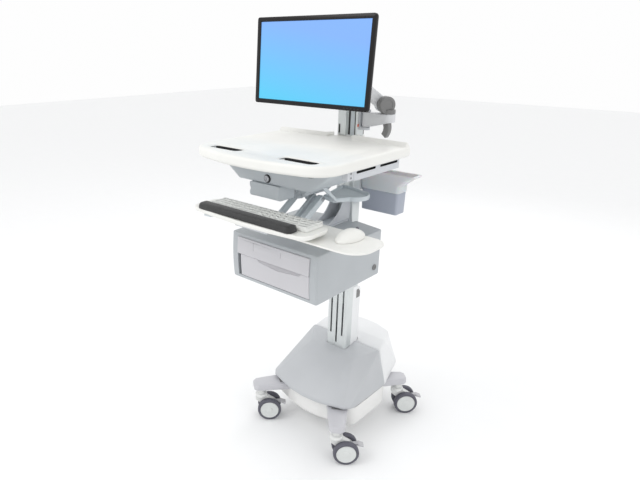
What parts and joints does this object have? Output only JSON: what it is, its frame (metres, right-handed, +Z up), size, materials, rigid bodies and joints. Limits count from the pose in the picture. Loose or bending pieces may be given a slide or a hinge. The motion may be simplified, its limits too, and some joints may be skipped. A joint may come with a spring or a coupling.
{
  "type": "medication cart",
  "caption": "Wheeled medication cart with a lifting column, locking drawer, work surface, keyboard tray, side bin and a display on a jointed arm.",
  "frame": {"origin": "centre of the footprint box on the floor, under the cart", "axes": "+Z up, -Y towards the user, +X to the user's right"},
  "size_m": [0.696, 0.834, 1.6013],
  "materials": {
    "base_paint": "fine satin powder coat",
    "pan_white": "satin moulded plastic",
    "cover_grey": "fine textured moulded plastic",
    "cover_white": "fine textured moulded plastic",
    "battery_dark": "textured plastic case",
    "column_metal": "satin anodised extrusion",
    "glide_black": "low friction plastic",
    "steel": "turned steel",
    "bracket_grey": "satin powder coat",
    "surface_white": "satin moulded plastic",
    "tub_grey": "fine textured moulded plastic",
    "dark_plastic": "matte black plastic",
    "cabinet_grey": "fine textured moulded plastic",
    "drawer_grey": "satin moulded plastic",
    "drawer_inner": "satin moulded plastic",
    "arm_blue_grey": "satin paint",
    "palm_black": "matte grained skin over foam",
    "keyboard_plastic": "matte moulded plastic",
    "mouse_plastic": "satin moulded plastic",
    "bin_blue": "satin moulded plastic",
    "rim_clear": "frosted plastic",
    "arm_light": "smooth silver paint",
    "arm_dark": "textured plastic",
    "monitor_black": "polished black plastic",
    "screen_blue": "lit panel behind a satin film",
    "fork_white": "moulded nylon",
    "wheel_grey": "soft grey tread with a light hub cap",
    "pedal_grey": "moulded nylon"
  },
  "bodies": {
    "base": {"base_frame": "base_paint", "lower_pan": "pan_white", "base_cover": "cover_grey", "battery_cover": "cover_white", "battery_pack": "battery_dark", "column_extrusion": "column_metal", "column_cover": "cover_white", "column_glides": "glide_black", "lift_strut": "steel"},
    "lift": {"riser": "column_metal", "strut_rod": "steel", "lift_bracket": "bracket_grey", "mast": "column_metal", "mast_collar": "bracket_grey", "work_surface": "surface_white", "work_tub": "tub_grey", "handle_inserts": "dark_plastic", "console_box": "tub_grey", "arm_housing": "tub_grey", "side_rails": "bracket_grey", "cable_scoop": "arm_blue_grey", "cabinet_shell": "cabinet_grey", "cabinet_runners": "steel"},
    "surface_lock": {"surface_lock": "steel"},
    "cabinet_lock": {"cabinet_lock": "steel"},
    "drawer": {"drawer_tray": "drawer_inner", "drawer_front": "drawer_grey", "drawer_header": "drawer_grey"},
    "tray_arm": {"tray_arm": "arm_blue_grey"},
    "tray_head": {"tray_head": "bracket_grey"},
    "keyboard_tray": {"keyboard_tray": "surface_white", "palm_rest": "palm_black", "keyboard": "keyboard_plastic"},
    "mouse_tray": {"mouse_tray": "surface_white"},
    "mouse": {"mouse": "mouse_plastic"},
    "bin": {"bin_body": "bin_blue", "bin_rim": "rim_clear"},
    "arm_link": {"arm_link": "arm_light", "cable_hook": "arm_dark"},
    "elbow": {"elbow": "arm_dark"},
    "upper_arm": {"upper_arm": "arm_light"},
    "arm_head": {"arm_head": "arm_dark"},
    "pan_head": {"pan_head": "arm_dark"},
    "tilt_block": {"tilt_block": "arm_dark"},
    "monitor": {"vesa_plate": "dark_plastic", "monitor_housing": "monitor_black", "monitor_bezel": "monitor_black", "screen_panel": "screen_blue"},
    "caster_front_left": {"fork_front_left": "fork_white"},
    "wheels_front_left": {"wheel_front_left": "wheel_grey"},
    "brake_front_left": {"pedal_front_left": "pedal_grey"},
    "caster_front_right": {"fork_front_right": "fork_white"},
    "wheels_front_right": {"wheel_front_right": "wheel_grey"},
    "brake_front_right": {"pedal_front_right": "pedal_grey"},
    "caster_rear_left": {"fork_rear_left": "fork_white"},
    "wheels_rear_left": {"wheel_rear_left": "wheel_grey"},
    "brake_rear_left": {"pedal_rear_left": "pedal_grey"},
    "caster_rear_right": {"fork_rear_right": "fork_white"},
    "wheels_rear_right": {"wheel_rear_right": "wheel_grey"},
    "brake_rear_right": {"pedal_rear_right": "pedal_grey"}
  },
  "joints": [
    {"name": "lift_column", "type": "slide", "parent": "base", "child": "lift", "axis": [0, 0, 1], "range_m": [-0.35, 0.08]},
    {"name": "surface_lock_turn", "type": "hinge", "parent": "lift", "child": "surface_lock", "pos_m": [-0.081, -0.265, 1.108], "axis": [0, -1, 0], "range_deg": [0, 90]},
    {"name": "cabinet_lock_turn", "type": "hinge", "parent": "lift", "child": "cabinet_lock", "pos_m": [0.126, 0.089, 0.747], "axis": [1, 0, 0], "range_deg": [0, 90]},
    {"name": "drawer_slide", "type": "slide", "parent": "lift", "child": "drawer", "axis": [0, -1, 0], "range_m": [0, 0.3]},
    {"name": "tray_lift", "type": "hinge", "parent": "lift", "child": "tray_arm", "pos_m": [-0.062, -0.085, 1.02], "axis": [1, 0, 0], "range_deg": [-28, 28]},
    {"name": "tray_level", "type": "hinge", "parent": "tray_arm", "child": "tray_head", "pos_m": [-0.062, -0.185, 0.958], "axis": [1, 0, 0], "range_deg": [-28, 28]},
    {"name": "tray_tilt", "type": "hinge", "parent": "tray_head", "child": "keyboard_tray", "pos_m": [-0.062, -0.295, 0.96], "axis": [1, 0, 0], "range_deg": [-10, 10]},
    {"name": "mouse_tray_slide", "type": "slide", "parent": "keyboard_tray", "child": "mouse_tray", "axis": [1, 0, 0], "range_m": [0, 0.05]},
    {"name": "mouse_glide", "type": "slide", "parent": "mouse_tray", "child": "mouse", "axis": [0, 1, 0], "range_m": [-0.025, 0.025]},
    {"name": "bin_lift_off", "type": "slide", "parent": "lift", "child": "bin", "axis": [0, 0, 1], "range_m": [0, 0.12]},
    {"name": "arm_yaw", "type": "hinge", "parent": "lift", "child": "arm_link", "pos_m": [0, 0.172, 1.263], "axis": [0, 0, 1], "range_deg": [-25, 90]},
    {"name": "elbow_yaw", "type": "hinge", "parent": "arm_link", "child": "elbow", "pos_m": [0.088, 0.172, 1.29], "axis": [0, 0, 1], "range_deg": [-45, 60]},
    {"name": "arm_pitch", "type": "hinge", "parent": "elbow", "child": "upper_arm", "pos_m": [0.068, 0.172, 1.32], "axis": [0.831, -0.5563, 0], "range_deg": [-10, 20]},
    {"name": "head_level", "type": "hinge", "parent": "upper_arm", "child": "arm_head", "pos_m": [-0.04071, 0.03298, 1.452], "axis": [0.831, -0.5563, 0], "range_deg": [-20, 10]},
    {"name": "head_pan", "type": "hinge", "parent": "arm_head", "child": "pan_head", "pos_m": [-0.062, 0.001, 1.462], "axis": [0, 0, 1], "range_deg": [-45, 28]},
    {"name": "screen_tilt", "type": "hinge", "parent": "pan_head", "child": "tilt_block", "pos_m": [-0.062, -0.028, 1.462], "axis": [1, 0, 0], "range_deg": [-20, 10]},
    {"name": "screen_turn", "type": "hinge", "parent": "tilt_block", "child": "monitor", "pos_m": [-0.062, -0.084, 1.462], "axis": [0, -0.9979, 0.0645], "range_deg": [-30, 30]},
    {"name": "swivel_front_left", "type": "hinge", "parent": "base", "child": "caster_front_left", "pos_m": [-0.262, -0.113, 0.11], "axis": [0, 0, 1], "continuous": true},
    {"name": "roll_front_left", "type": "hinge", "parent": "caster_front_left", "child": "wheels_front_left", "pos_m": [-0.23567, -0.08845, 0.05], "axis": [-0.682, 0.7314, 0], "continuous": true},
    {"name": "brake_front_left", "type": "hinge", "parent": "caster_front_left", "child": "brake_front_left", "pos_m": [-0.21666, -0.07072, 0.07], "axis": [-0.682, 0.7314, 0], "range_deg": [0, 12]},
    {"name": "swivel_front_right", "type": "hinge", "parent": "base", "child": "caster_front_right", "pos_m": [0.138, -0.113, 0.11], "axis": [0, 0, 1], "continuous": true},
    {"name": "roll_front_right", "type": "hinge", "parent": "caster_front_right", "child": "wheels_front_right", "pos_m": [0.16433, -0.08845, 0.05], "axis": [-0.682, 0.7314, 0], "continuous": true},
    {"name": "brake_front_right", "type": "hinge", "parent": "caster_front_right", "child": "brake_front_right", "pos_m": [0.18334, -0.07072, 0.07], "axis": [-0.682, 0.7314, 0], "range_deg": [0, 12]},
    {"name": "swivel_rear_left", "type": "hinge", "parent": "base", "child": "caster_rear_left", "pos_m": [-0.269, 0.323, 0.11], "axis": [0, 0, 1], "continuous": true},
    {"name": "roll_rear_left", "type": "hinge", "parent": "caster_rear_left", "child": "wheels_rear_left", "pos_m": [-0.24267, 0.34755, 0.05], "axis": [-0.682, 0.7314, 0], "continuous": true},
    {"name": "brake_rear_left", "type": "hinge", "parent": "caster_rear_left", "child": "brake_rear_left", "pos_m": [-0.22366, 0.36528, 0.07], "axis": [-0.682, 0.7314, 0], "range_deg": [0, 12]},
    {"name": "swivel_rear_right", "type": "hinge", "parent": "base", "child": "caster_rear_right", "pos_m": [0.145, 0.323, 0.11], "axis": [0, 0, 1], "continuous": true},
    {"name": "roll_rear_right", "type": "hinge", "parent": "caster_rear_right", "child": "wheels_rear_right", "pos_m": [0.17133, 0.34755, 0.05], "axis": [-0.682, 0.7314, 0], "continuous": true},
    {"name": "brake_rear_right", "type": "hinge", "parent": "caster_rear_right", "child": "brake_rear_right", "pos_m": [0.19034, 0.36528, 0.07], "axis": [-0.682, 0.7314, 0], "range_deg": [0, 12]}
  ],
  "couplings": [
    {"joint": "tray_level", "follows": "tray_lift", "ratio": -1},
    {"joint": "head_level", "follows": "arm_pitch", "ratio": -1}
  ]
}
